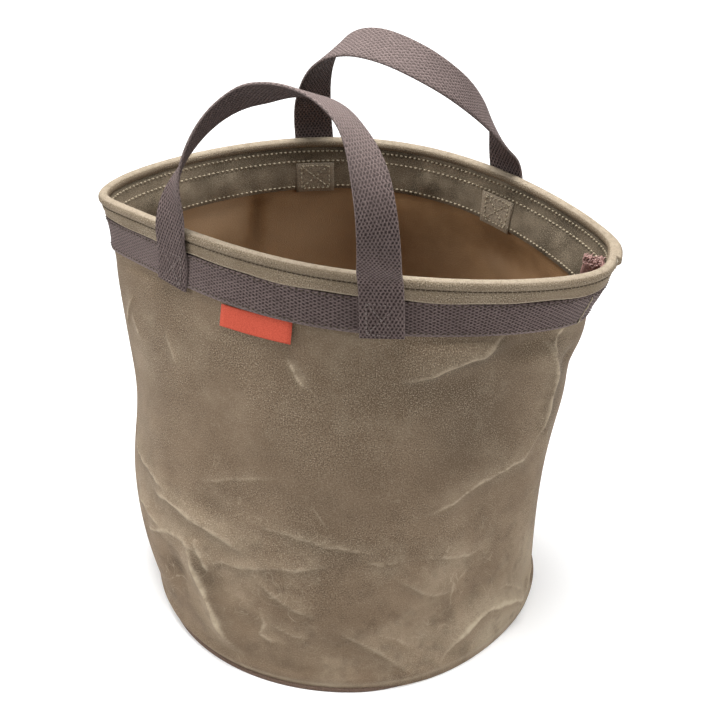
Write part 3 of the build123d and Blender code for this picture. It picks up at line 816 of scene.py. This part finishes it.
def wall_face(steps, out):
    """Points, distances along the front and heights of a grid over the whole wall."""
    turn = np.repeat(turn_at(-WALL_MARKS[:-1])[:, None], steps, 1)
    front, top = front_at(turn), crown(turn)
    x, y = mouth(turn)
    foot = WALL_FOOT - (WALL_FOOT - TUCKED_FOOT) * tucked(np.arctan2(y, x))
    height = foot + np.linspace(0, 1, steps) * (top - 2 * ROLL_RADIUS - foot)
    rise = slack(front, height, top) + out
    return plain_wall(turn, height) + wall_normal(turn, height) * rise[..., None], front, height


outer_points, *outer_places = wall_face(WALL_STEPS, CANVAS / 2)
inner_points, *inner_places = wall_face(LINING_STEPS, -CANVAS / 2)
# Painted light and shade for the inside; the outside also carries worn lines with painted highlights
inner_light_and_shade = patches(INSIDE_LIGHT_AND_SHADE, *inner_places)[:, ::-1]
wall_values = {
    "wear_and_highlight": np.hstack([wear_and_highlight(*outer_places), 0 * inner_light_and_shade]).ravel(),
    "painted_shading": np.hstack([outer_light_and_shade(*outer_places), inner_light_and_shade]).ravel(),
}
wall = make_shell(
    "canvas_wall",
    np.concatenate([outer_points, inner_points[:, ::-1]], 1),
    [WAXED, INSIDE],
    (WALL_MARKS, np.concatenate([OUTSIDE_ROWS, INSIDE_ROWS, [LAST_ROW]])),
    slots=[0] * WALL_STEPS + [1] * LINING_STEPS,
    values=wall_values,
)
settle(wall, "canvas", "side_panel")

BEARINGS = np.linspace(0, 2 * np.pi, BASE_STEPS, endpoint=False)
SIGNED_BEARINGS = np.where(BEARINGS > np.pi, BEARINGS - 2 * np.pi, BEARINGS)


def base_ring(out, height):
    """Points round the base at a distance outside the wall's foot."""
    radius = base_radius(SIGNED_BEARINGS) + out
    return np.stack([radius * np.cos(BEARINGS), radius * np.sin(BEARINGS), height + 0 * radius], -1)


# Base: flat underneath, with soft waves on the inside
DISC_SHARES = (1.0, 0.97, 0.9, 0.8, 0.65, 0.5, 0.35, 0.2, 0.08)
DISC_OUT = -0.3
DISC_TOP = 1.35
DISC_SWELL = 1.3
DISC_WAVE = 0.9
DISC_WAVE_X = 31.0
DISC_WAVE_Y = 24.0
DISC_BLUNT = 8
DISC_CLOTH = 0.75
disc_rings = [base_ring(DISC_OUT, 0.0) * (share, share, 1) for share in DISC_SHARES[::-1]]
for share in DISC_SHARES:
    ring = base_ring(DISC_OUT, DISC_TOP) * (share, share, 1)
    wave = DISC_WAVE * np.sin(ring[:, 0] / DISC_WAVE_X) * np.cos(ring[:, 1] / DISC_WAVE_Y)
    ring[:, 2] += (1 - share**DISC_BLUNT) * (DISC_SWELL + wave)
    disc_rings.append(ring)
disc_points = np.concatenate(disc_rings)
disc_faces = stacked(0, len(disc_rings), BASE_STEPS)
outside_faces = 1 + (len(DISC_SHARES) - 1) * BASE_STEPS
disc_slots = [1] * outside_faces + [0] * (len(disc_faces) - outside_faces)
disc_uvs = [disc_points[n, :2] * MM + (0, DISC_CLOTH) for face in disc_faces for n in face]
disc = make_piece("base_disc", disc_points, disc_faces, [INSIDE, WAXED], disc_uvs, disc_slots)
settle(disc, "canvas", "base_panel")

# Tape folded round the base seam, as (out, height), pressed in and flat where the hem is turned under
TAPE_PROFILE = (
    (-1.2, 0.1), (0.9, 0.0), (1.7, 0.4), (1.9, 1.4), (1.8, 2.6),
    (1.3, 3.6), (0.3, 3.9), (-0.9, 3.7), (-1.3, 2.0),
)
TAPE_PRESS = 3.2
TAPE_FLATTEN = 0.8
tape_tuck = tucked(SIGNED_BEARINGS)
tape_flat = 1 - TAPE_FLATTEN * tape_tuck
tape_rings = [base_ring(out - TAPE_PRESS * tape_tuck, height * tape_flat) for out, height in TAPE_PROFILE]
settle(make_shell("base_tape", np.stack(tape_rings, 1), [TAPE]), "tape", "base_binding")

# Feet of the handles: turn on the rim
FEET = {
    "front_right": math.radians(277.95),
    "front_left": math.radians(229.8),
    "rear_left": math.radians(106.7),
    "rear_right": math.radians(59.0),
}
FOOT_FRONTS = [float(front_at(turn)) for turn in FEET.values()]

# Rim: the binding rolled over its cord, with a tail sewn down outside and its ends lapped at the seam.
# The tail's back and face, as (drop, distance out of that face)
TAIL_BACK = ((8.4, 0.0), (16.1, 0.0), (16.7, 0.4))
TAIL_FACE = (
    (16.8, 0.3), (16.2, 0.8), (15.4, 0.7), (14.6, 0.4), (12.2, 0.7), (10.2, 1.0), (8.8, 0.8), (7.9, 0.1)
)
# Drops down to the end of the painted highlight on the roll's crest, and of the one on the tail's lower edge
CREST_HIGHLIGHT_DROP = 1.6
TAIL_HIGHLIGHT_DROPS = (15.9, 16.9)
# The lap: its place, how far the ends rise, sink and sag there, and the distances over which that fades
LAP_AT = 10.0
LAP_RISE = 2.6
LAP_PRESS = 0.9
LAP_SAG = 1.6
RISE_FADE = (12, 48)
PRESS_FADE = (2, 18)
SAG_FADE = (2, 20)
# Drops over which the roll ends, and over which the tail comes to wave
ROLL_END = (7.5, 12)
TAIL_LOOSE = (9, 15)


def lapped(turn, drop, out):
    """The binding's back end wraps the seam corner and laps over its front end; the tail waves a little."""
    front = front_at(turn)
    front = np.where(front > ROUND / 2, front - ROUND, front)
    past = front - LAP_AT
    upper = (past < 0) * (1 - smooth(-past, *RISE_FADE))
    under = (past >= 0) * (1 - smooth(past, *PRESS_FADE))
    outward = (out + ROLL_RADIUS) / (2 * ROLL_RADIUS) * (1 - smooth(drop, *ROLL_END))
    sag = LAP_SAG * (past < 0) * (1 - smooth(-past, *SAG_FADE))
    wave = waves(TAIL_WAVES, front) * smooth(drop, *TAIL_LOOSE)
    return drop + sag + wave, out + (LAP_RISE * upper - LAP_PRESS * under) * outward


def arc_profile(radius, degrees):
    """Arc round the middle of the rim's cord, as (drop, out)."""
    return [(ROLL_RADIUS - radius * math.sin(a), radius * math.cos(a)) for a in np.radians(degrees)]


rim_profile = arc_profile(ROLL_RADIUS, np.arange(-50, 241, 17))
rim_profile += [(drop, BAND_INNER + out) for drop, out in TAIL_BACK]
rim_profile += [(drop, TAIL_OUTER + out) for drop, out in TAIL_FACE]
rim_drops = np.array(rim_profile)[:, 0]
highlight_lines = (rim_drops < CREST_HIGHLIGHT_DROP) | ((rim_drops > TAIL_HIGHLIGHT_DROPS[0]) & (rim_drops < TAIL_HIGHLIGHT_DROPS[1]))
binding = ring_piece("rim_roll", rim_profile, [BINDING], change=lapped, edges=np.flatnonzero(highlight_lines))
settle(binding, "binding", "rim_binding")
core_profile = arc_profile(CORD_RADIUS, np.arange(0, 360, 30))
core = ring_piece("rim_core", core_profile, [CORD], CORD_STEPS, change=lapped)
settle(core, "cord", "rim_cord")
# The tail's seam uses the near-black thread, painted shade for the groove it sinks into
TAIL_PITCH = 3.4
TAIL_STITCH = 2.8
TAIL_SEAM = 7.9
TAIL_THREAD = 0.7
TAIL_THREAD_OUT = TAIL_OUTER + 0.5
tail_row = even_marks(TAIL_PITCH), TAIL_STITCH, TAIL_SEAM, TAIL_THREAD_OUT, TAIL_THREAD
settle(sew_row("tail_stitches", *tail_row, SHADED_STITCH), "thread")

# Webbing band with a pale lower edge, and the facing behind it
BAND_EDGE = (7, 8, 9, 10)
band_profile = strip_profile(BAND_DROP, BAND_FOOT, BAND_INNER, BAND_OUTER, 8)
band = ring_piece("band", band_profile, [STRAP], edges=BAND_EDGE, light_and_shade=BAND_LIGHT_AND_SHADE.values())
settle(band, "webbing", "webbing_band")
FACING_DROP = 7.4
FACING_FOOT = BAND_FOOT + 0.4
PUCKER_RISE = 0.8
PUCKER_DROP = 19.5
PUCKER_WIDTH = 20.4
FOOT_HOLD = 19.0


def puckered(turn, drop, out):
    """The facing ripples between its two lower stitch rows, but not where a foot is sewn through it."""
    front = front_at(turn)
    ripple = PUCKER_RISE + waves(FACING_WAVES, front)
    for foot in FOOT_FRONTS:
        ripple = ripple * (1 - bump(front, foot, FOOT_HOLD) ** 0.5)
    between = np.clip((drop - PUCKER_DROP) / PUCKER_WIDTH, 0, 1)
    return drop, out - np.maximum(ripple, 0) * np.sin(np.pi * between)


facing_profile = strip_profile(FACING_DROP, FACING_FOOT, FACING_INNER, FACING_OUTER, 14)
facing = ring_piece(
    "facing", facing_profile, [FACING], FACING_STEPS, change=puckered, light_and_shade=FACING_LIGHT_AND_SHADE.values()
)
settle(facing, "facing", "rim_facing")

# Stitch rows round the inside: drop, pitch, thickness and node.
# The seams through the band show on it in dark thread, except under the feet.
ROWS = {
    "rim_stitches": (10.4, 3.7, 1.6, "rim_stitch_row"),
    "upper_stitches": (18.6, 3.9, 1.5, "upper_stitch_row"),
    "lower_stitches": (39.9, 3.9, 1.45, "lower_stitch_row"),
}
INSIDE_STITCH = 0.66
INSIDE_OUT = FACING_INNER - 0.2
OUTSIDE_STITCH = 0.6
OUTSIDE_THREAD = 0.95
FOOT_CLEARANCE = 2.0
for name, (drop, pitch, thickness, node) in ROWS.items():
    marks = even_marks(pitch)
    row = sew_row(name, marks, pitch * INSIDE_STITCH, drop, INSIDE_OUT, thickness, STITCH, -1)
    settle(row, "thread", node)
    if drop > BAND_DROP:
        apart = np.min([np.abs(front_at(turn_at(marks)) - foot) for foot in FOOT_FRONTS], axis=0)
        shown = marks[apart > FOOT_WIDTH / 2 + FOOT_CLEARANCE], pitch * OUTSIDE_STITCH, drop, BAND_OUTER
        settle(sew_row(f"{name}_outside", *shown, OUTSIDE_THREAD, SHADED_STITCH), "thread")


def smooth_line(marks, points, where):
    """Smooth line of cubic pieces through points at given marks, and its direction."""
    def terms(at):
        at = at[:, None] / marks[-1]
        past = np.maximum(at - marks[2:-2] / marks[-1], 0)
        one = np.ones_like(at)
        line = np.hstack([one, at, at**2, at**3, past**3])
        return line, np.hstack([0 * one, one, 2 * at, 3 * at**2, 3 * past**2])

    weights = np.linalg.solve(terms(marks)[0], points)
    return [part @ weights for part in terms(where)]


FOOT_DROPS = np.array((46.2, 41.0, 36.0, 32.0, 28.0, 24.0, 20.0, 17.0, 13.0, 9.0, 5.0))
FOOT_OUTS = np.array((4.3, 4.2, 4.2, 4.2, 4.2, 4.2, 4.3, 4.6, 5.3, 5.7, 5.7))
# Heights at which the feet's direction along the wall is taken
FOLD_LEVEL = 320.0
FOOT_LEVEL = 300.0

# Free lengths from the right foot to the left one: place, then twist in degrees.
# A twist of 90 lies flat like the feet and 0 faces straight up at the top of the arch.
FRONT_LOOP = (
    (44.9, -120.3, 328.4, 86),
    (44.3, -142.9, 400.2, 36),
    (29.0, -129.1, 430.3, -10),
    (-44.7, -81.5, 429.7, -46),
    (-76.4, -71.4, 407.4, -15),
    (-110.3, -71.2, 336.6, 50),
    (-111.1, -72.2, 326.0, 70),
)
REAR_LOOP = (
    (98.2, 97.5, 321.5, 64),
    (73.5, 40.8, 397.2, 8),
    (46.4, 25.5, 421.0, -6),
    (11.5, 33.4, 430.7, -4),
    (-50.6, 99.0, 369.9, 53),
    (-55.9, 118.6, 328.9, 86),
)
# Distances from the loop's end over which its own twist begins, and from the strap's end over which the
# strap narrows and over which its painted top light and underside shade come in
OWN_TWIST = (-4, 46)
NARROWING = (44, 120)
TOP_LIGHT_FADE = (60, 110)
BEND_REACH = 9


def strap_piece(name, right, left, outward, loop):
    """One length of webbing from the sole of one foot, over the loop, to the sole of the other."""
    def foot(turn, way):
        level = unit(wall_step(turn, FOLD_LEVEL, FOOT_TURN) * (1, 1, 0))
        return on_wall(turn, FOOT_DROPS, FOOT_OUTS), level * np.sign(level[0]) * way

    knots = np.array(loop, float)[:, :3]
    marks = path_length(knots)
    where = np.linspace(0, marks[-1], LOOP_STEPS)
    middle, along = smooth_line(marks, knots, where)
    along = unit(along)
    chord = unit(knots[0] - knots[-1])
    upward = knots[1:-1].mean(0) - (knots[0] + knots[-1]) / 2
    upward = unit(upward - chord * (upward @ chord))
    out = outward * np.cross(upward, chord)
    side = unit(out - along * (along @ out)[:, None])
    top = outward * np.cross(side, along)
    twist = np.radians(np.interp(where, marks, [knot[3] for knot in loop]))[:, None]
    width = outward * np.cross(along, top * np.cos(twist) + side * np.sin(twist))

    right_points, right_level = foot(right, -1)
    left_points, left_level = foot(left, 1)
    for level, reach in ((right_level, where), (left_level, marks[-1] - where)):
        own = smooth(reach, *OWN_TWIST)[:, None]
        width = unit(level * (1 - own) + width * own)
    middle = np.vstack([right_points, middle, left_points[::-1]])
    width = np.vstack([[right_level] * len(FOOT_DROPS), width, [left_level] * len(FOOT_DROPS)])
    # Even steps, then a softer bend and turn where the loop leaves its feet
    length = path_length(middle)
    even = np.linspace(0, length[-1], STRAP_STEPS)
    middle = softened(along_line(even, length, middle), BEND_REACH, "edge")
    width = softened(along_line(even, length, width), BEND_REACH, "edge")
    along = unit(np.gradient(middle, axis=0))
    width = unit(width - along * (width * along).sum(1, keepdims=True))
    face = np.cross(width, along)
    from_end = np.minimum(even, even[-1] - even)
    spread = 1 + (FOOT_WIDTH / STRAP_WIDTH - 1) * (1 - smooth(from_end, *NARROWING))
    width = width * spread[:, None]
    half = STRAP_WIDTH / 2
    across = np.linspace(-half + 0.5, half - 0.5, 11)
    section = [(a, WEBBING / 2) for a in across] + [(half, 0.5), (half, -0.5)]
    section += [(a, -WEBBING / 2) for a in across[::-1]] + [(-half, -0.5), (-half, 0.5)]
    grid = np.stack([middle + width * a + face * b for a, b in section], 1)
    pale = np.array([float(abs(a) == half) for a, _ in section])
    # Painted light on top of the loop and painted shade underneath
    top_side = np.sign([b for _, b in section])
    painted_shading = face[:, 2:] * top_side * smooth(from_end, *TOP_LIGHT_FADE)[:, None]
    values = {"edge": np.tile(pale, STRAP_STEPS), "painted_shading": painted_shading.ravel()}
    return make_shell(name, grid, [STRAP], (even, path_length(section + section[:1])), False, values=values)


for side, outward, loop in (("front", -1, FRONT_LOOP), ("rear", 1, REAR_LOOP)):
    strap = strap_piece(f"{side}_strap", FEET[f"{side}_right"], FEET[f"{side}_left"], outward, loop)
    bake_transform(strap)
    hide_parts(f"{side}_handle", *[f"{node}_foot" for node in FEET if node.startswith(side)])

# Stitched box with a cross on each foot, and the other side of it on a patch of canvas behind the foot
FOOT_BOX = {"width": 19.6, "height": 22.0, "middle": 30.6, "pitch": 3.1, "thickness": 0.9}
BACKING_BOX = {"width": 22.0, "height": 19.0, "middle": 32.0, "pitch": 3.4, "thickness": 1.2}
BOX_STITCH = 0.74
BOX_LIFT = 0.2
FOOT_FACE = 5.5
BACKING_HALF = 15.0
BACKING_STEPS = 12
BACKING_TOP = 20.2
BACKING_FOOT = 44.6
BACKING_OUTER = FACING_INNER - 0.2
BACKING_INNER = FACING_INNER - 1.0
BACKING_PROFILE = strip_profile(BACKING_TOP, BACKING_FOOT, BACKING_INNER, BACKING_OUTER, 5, 0.3)
BACKING_MARKS = (np.arange(BACKING_STEPS) * 2.5, np.linspace(0, 50, len(BACKING_PROFILE) + 1))
BACKING_STITCH_OUT = FACING_INNER - 1.1


def sewn_box(name, turn, speed, out, facing, material, width, height, middle, pitch, thickness):
    """Stitches of a box with a cross on one face of the wall, at a drop to its middle."""
    w, h = width / 2, height / 2
    path = (-w, -h), (w, -h), (w, h), (-w, h), (-w, -h), (w, h)
    spots = []
    for start, end in [*zip(path[:-1], path[1:]), ((-w, h), (w, -h))]:
        count = max(2, int(math.dist(start, end) / pitch))
        shares = (np.arange(count)[:, None] + (0, BOX_STITCH)) / count
        spots.append(start + np.subtract(end, start) * shares[..., None])
    along, upward = np.moveaxis(np.concatenate(spots), -1, 0)
    points = on_wall(turn + along / speed, middle - upward, out)
    outs = [facing * wall_normal(turn, FOOT_LEVEL)] * len(points)
    return stitch_piece(name, points[:, 0], points[:, 1], outs, thickness, material, BOX_LIFT)


for side, turn in FEET.items():
    # Distance along the rim for each radian of turn
    speed = np.linalg.norm(wall_step(turn, FOOT_LEVEL, FOOT_TURN)[:2]) / (2 * FOOT_TURN)
    box = sewn_box(f"{side}_foot_stitches", turn, speed, FOOT_FACE, 1, FOOT_STITCH, **FOOT_BOX)
    settle(box, "thread", f"{side}_box_stitch")
    across = np.linspace(-BACKING_HALF, BACKING_HALF, BACKING_STEPS) / speed + turn
    grid = np.stack([on_wall(across, drop, out) for drop, out in BACKING_PROFILE], 1)
    patch = make_shell(f"{side}_backing", grid, [PATCH], BACKING_MARKS, False)
    settle(patch, "facing", f"{side}_patch")
    inner = sewn_box(f"{side}_backing_stitches", turn, speed, BACKING_STITCH_OUT, -1, STITCH, **BACKING_BOX)
    settle(inner, "thread")

# Blank woven tag under the band, sewn along its top edge and lifting a little at the right.
# Distances along the front, and drops of its edges with their slopes to the right
TAG_LEFT = 313.0
TAG_RIGHT = 257.5
TAG_TOP = 44.2
TAG_TOP_SLOPE = 2.8
TAG_FOOT = 60.0
TAG_FOOT_SLOPE = 2.5
TAG_OUT = 1.1
TAG_LIFT = 2.4
TAG_THICKNESS = 0.8
TAG_COLUMNS = 15
TAG_ROWS = 17
tag_turns = turn_at(np.linspace(TAG_LEFT, TAG_RIGHT, TAG_COLUMNS))[:, None]
tag_along = np.linspace(0, 1, TAG_COLUMNS)[:, None]
tag_down = np.linspace(0, 1, TAG_ROWS)[None, :]
tag_tops = TAG_TOP - TAG_TOP_SLOPE * tag_along
tag_feet = TAG_FOOT - TAG_FOOT_SLOPE * tag_along
tag_drops = tag_tops + (tag_feet - tag_tops) * tag_down
lift = TAG_OUT + TAG_LIFT * tag_along**2 * tag_down**1.3
tag_face = on_wall(tag_turns, tag_drops, lift + TAG_THICKNESS)
tag_back = on_wall(tag_turns, tag_drops, lift)[:, ::-1]
tag = make_shell("blank_tag", np.concatenate([tag_face, tag_back], 1), [TAG], closed=False)
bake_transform(tag)
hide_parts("tag")

# Tape over the seam inside: on the wall's own slack below the facing, and over the facing above
SEAM_MIDDLE = -2.0
TAPE_HALF = 9.0
TAPE_THICKNESS = 1.1
TAPE_LEVEL = 250.0
# Drops over the wall and then over the facing, where the tape goes over to it, and its gap to each
TAPE_DROPS = np.concatenate([np.linspace(300, 40, 50), np.linspace(34, 13, 6)])[:, None]
FACING_END = 44.0
WALL_GAP = 0.9
FACING_GAP = 1.9
tape_turns = turn_at(np.linspace(SEAM_MIDDLE - TAPE_HALF, SEAM_MIDDLE + TAPE_HALF, 9))
tape_tops = crown(tape_turns)
wall_out = slack(front_at(tape_turns), tape_tops - TAPE_DROPS, tape_tops) - CANVAS / 2 - WALL_GAP
tape_out = np.where(TAPE_DROPS < FACING_END, FACING_INNER - FACING_GAP, wall_out)
tape_face = on_wall(tape_turns, TAPE_DROPS, tape_out)
tape_back = tape_face - wall_normal(tape_turns, TAPE_LEVEL) * TAPE_THICKNESS
tape_grid = np.concatenate([tape_face, tape_back[:, ::-1]], 1)
settle(make_shell("seam_tape_inside", tape_grid, [FRAY], closed=False), "tape", "seam_tape")
# Near the rim the tape is folded round the seam's standing edge, with its frayed end on top
FOLD_TOP = 15.5
FOLD_FOOT = 46.0
FOLD_DEPTH = 13.5
FOLD_HALF = 2.6
FOLD_SLOPE = 3.0
FOLD_GAP = 0.4
FOLD_TAPER = 0.85
FOLD_TAPER_TOP = 20.0
fold_steps = np.linspace(0, 1, 8)
fold_drops = np.linspace(FOLD_TOP, FOLD_FOOT, 14)[:, None]
fold_deep = FOLD_DEPTH * (1 - FOLD_TAPER * smooth(fold_drops, FOLD_TAPER_TOP, FOLD_FOOT))
fold_place = fold_drops + FOLD_SLOPE * fold_steps, FACING_INNER - FOLD_GAP - fold_deep * fold_steps
near, far = (on_wall(turn_at(SEAM_MIDDLE + half), *fold_place) for half in (-FOLD_HALF, FOLD_HALF))
fold_grid = np.concatenate([near, far[:, ::-1]], 1)
settle(make_shell("seam_fold", fold_grid, [FRAY], closed=False), "tape")
FRAY_COUNT = 130
FRAY_THREAD = 1.2
FRAY_RISE = 0.6
FRAY_SPREAD = 1.6
FRAY_OVERHANG = 1.5
FRAY_LOWEST = 22.0
FRAY_LENGTH = (2.0, 5.5)
FRAY_LEAN = 3.5
FRAY_SWAY = 4.0
scatter = np.random.default_rng(7)
fray_marks = SEAM_MIDDLE + FOLD_HALF * scatter.uniform(-FRAY_SPREAD, FRAY_SPREAD, FRAY_COUNT)
fray_deep = FACING_INNER - scatter.uniform(1.0, FOLD_DEPTH + FRAY_OVERHANG, FRAY_COUNT)
fray_low = scatter.uniform(FOLD_TOP, FRAY_LOWEST, FRAY_COUNT)
fray_high = fray_low - scatter.uniform(*FRAY_LENGTH, FRAY_COUNT)
fray_tips = fray_deep - scatter.uniform(-FRAY_LEAN, FRAY_LEAN, FRAY_COUNT)
fray_starts = on_wall(turn_at(fray_marks), fray_low, fray_deep)
fray_sway = scatter.uniform(-FRAY_SWAY, FRAY_SWAY, FRAY_COUNT)
fray_ends = on_wall(turn_at(fray_marks + fray_sway), fray_high, fray_tips)
fray_outs = -wall_normal(turn_at(fray_marks), FOOT_LEVEL)
frayed_end = stitch_piece("frayed_end", fray_starts, fray_ends, fray_outs, FRAY_THREAD, LIT_FRAY_ENDS, FRAY_RISE)
settle(frayed_end, "tape")

# Upright line of thread where the band's ends meet, as distances along the front and drops
SEAM_THREAD = ((43.5, 18.5), (42.8, 24.0), (42.4, 30.0), (42.2, 36.0), (42.2, 42.0))
SEAM_STITCH = 1.3
SEAM_THREAD_OUT = BAND_OUTER + 0.2
SEAM_THREAD_WIDTH = 1.0
thread_fronts, thread_drops = np.transpose(SEAM_THREAD)
thread_turns = turn_at(thread_fronts)
spots = on_wall(thread_turns, thread_drops, SEAM_THREAD_OUT)
ends = spots[:-1] + np.diff(spots, axis=0) * SEAM_STITCH
outs = wall_normal(thread_turns[:-1], FOOT_LEVEL)
settle(stitch_piece("band_seam_thread", spots[:-1], ends, outs, SEAM_THREAD_WIDTH, STITCH), "thread")

# Camera, floor and light, in metres
scene = bpy.context.scene
camera = add_object("camera", bpy.data.cameras.new("camera"))
camera.data.lens = 77.24
camera.data.sensor_width = 36.0
camera.data.clip_end = 60.0
camera.location = (0.2198, -0.9932, 0.75975)
camera.rotation_euler = Euler((math.radians(61.0105), 0, math.radians(12.1181)))
scene.camera = camera

# Seen by the eye, the floor shines up to white away from the bucket, and it keeps the shadow near it
FLOOR_HALF = 30000.0
paving = Shader("floor", 0.9)
paving.surface["Base Color"].default_value = (0.80, 0.80, 0.80, 1)
paving.surface["Emission Color"].default_value = (1, 1, 1, 1)
away = paving.add("ShaderNodeVectorMath", {"operation": "LENGTH"}, _0=paving.place()).outputs["Value"]
glow = paving.times(paving.seen(), paving.span(away, 0.6, 2.0, 0.3, 1.0))
paving.feed(paving.surface["Emission Strength"], glow)
floor_corners = np.array([(-1, -1, 0), (1, -1, 0), (1, 1, 0), (-1, 1, 0)]) * FLOOR_HALF
floor = make_piece("floor", floor_corners, [(0, 1, 2, 3)], [paving.material])

# Lamps: place, target, size and power
LAMPS = {
    "top": ((0.0, -0.1, 2.0), (0, 0, 0.2), 1.2, 60),
    "left": ((-2.0, -0.6, 1.1), (0, 0, 0.15), 1.1, 30),
    "right": ((2.0, -0.5, 1.0), (0, 0, 0.15), 1.1, 22),
}
for name, (place, target, size, power) in LAMPS.items():
    lamp = add_object(name, bpy.data.lights.new(name, "AREA"))
    lamp.data.shape = "DISK"
    lamp.data.size = size
    lamp.data.energy = power
    lamp.location = place
    lamp.rotation_euler = (Vector(target) - Vector(place)).to_track_quat("-Z", "Y").to_euler()

# The world is white to the eye and gives a little light
WORLD_LIGHT = 0.14
world = bpy.data.worlds.new("world")
world.use_nodes = True
sky = Nodes(world.node_tree)
background = sky.tree.nodes["Background"].inputs
background["Color"].default_value = (1, 1, 1, 1)
sky.feed(background["Strength"], sky.span(sky.seen(), 0.0, 1.0, WORLD_LIGHT, 1.0))
scene.world = world
scene.view_settings.view_transform = "Standard"
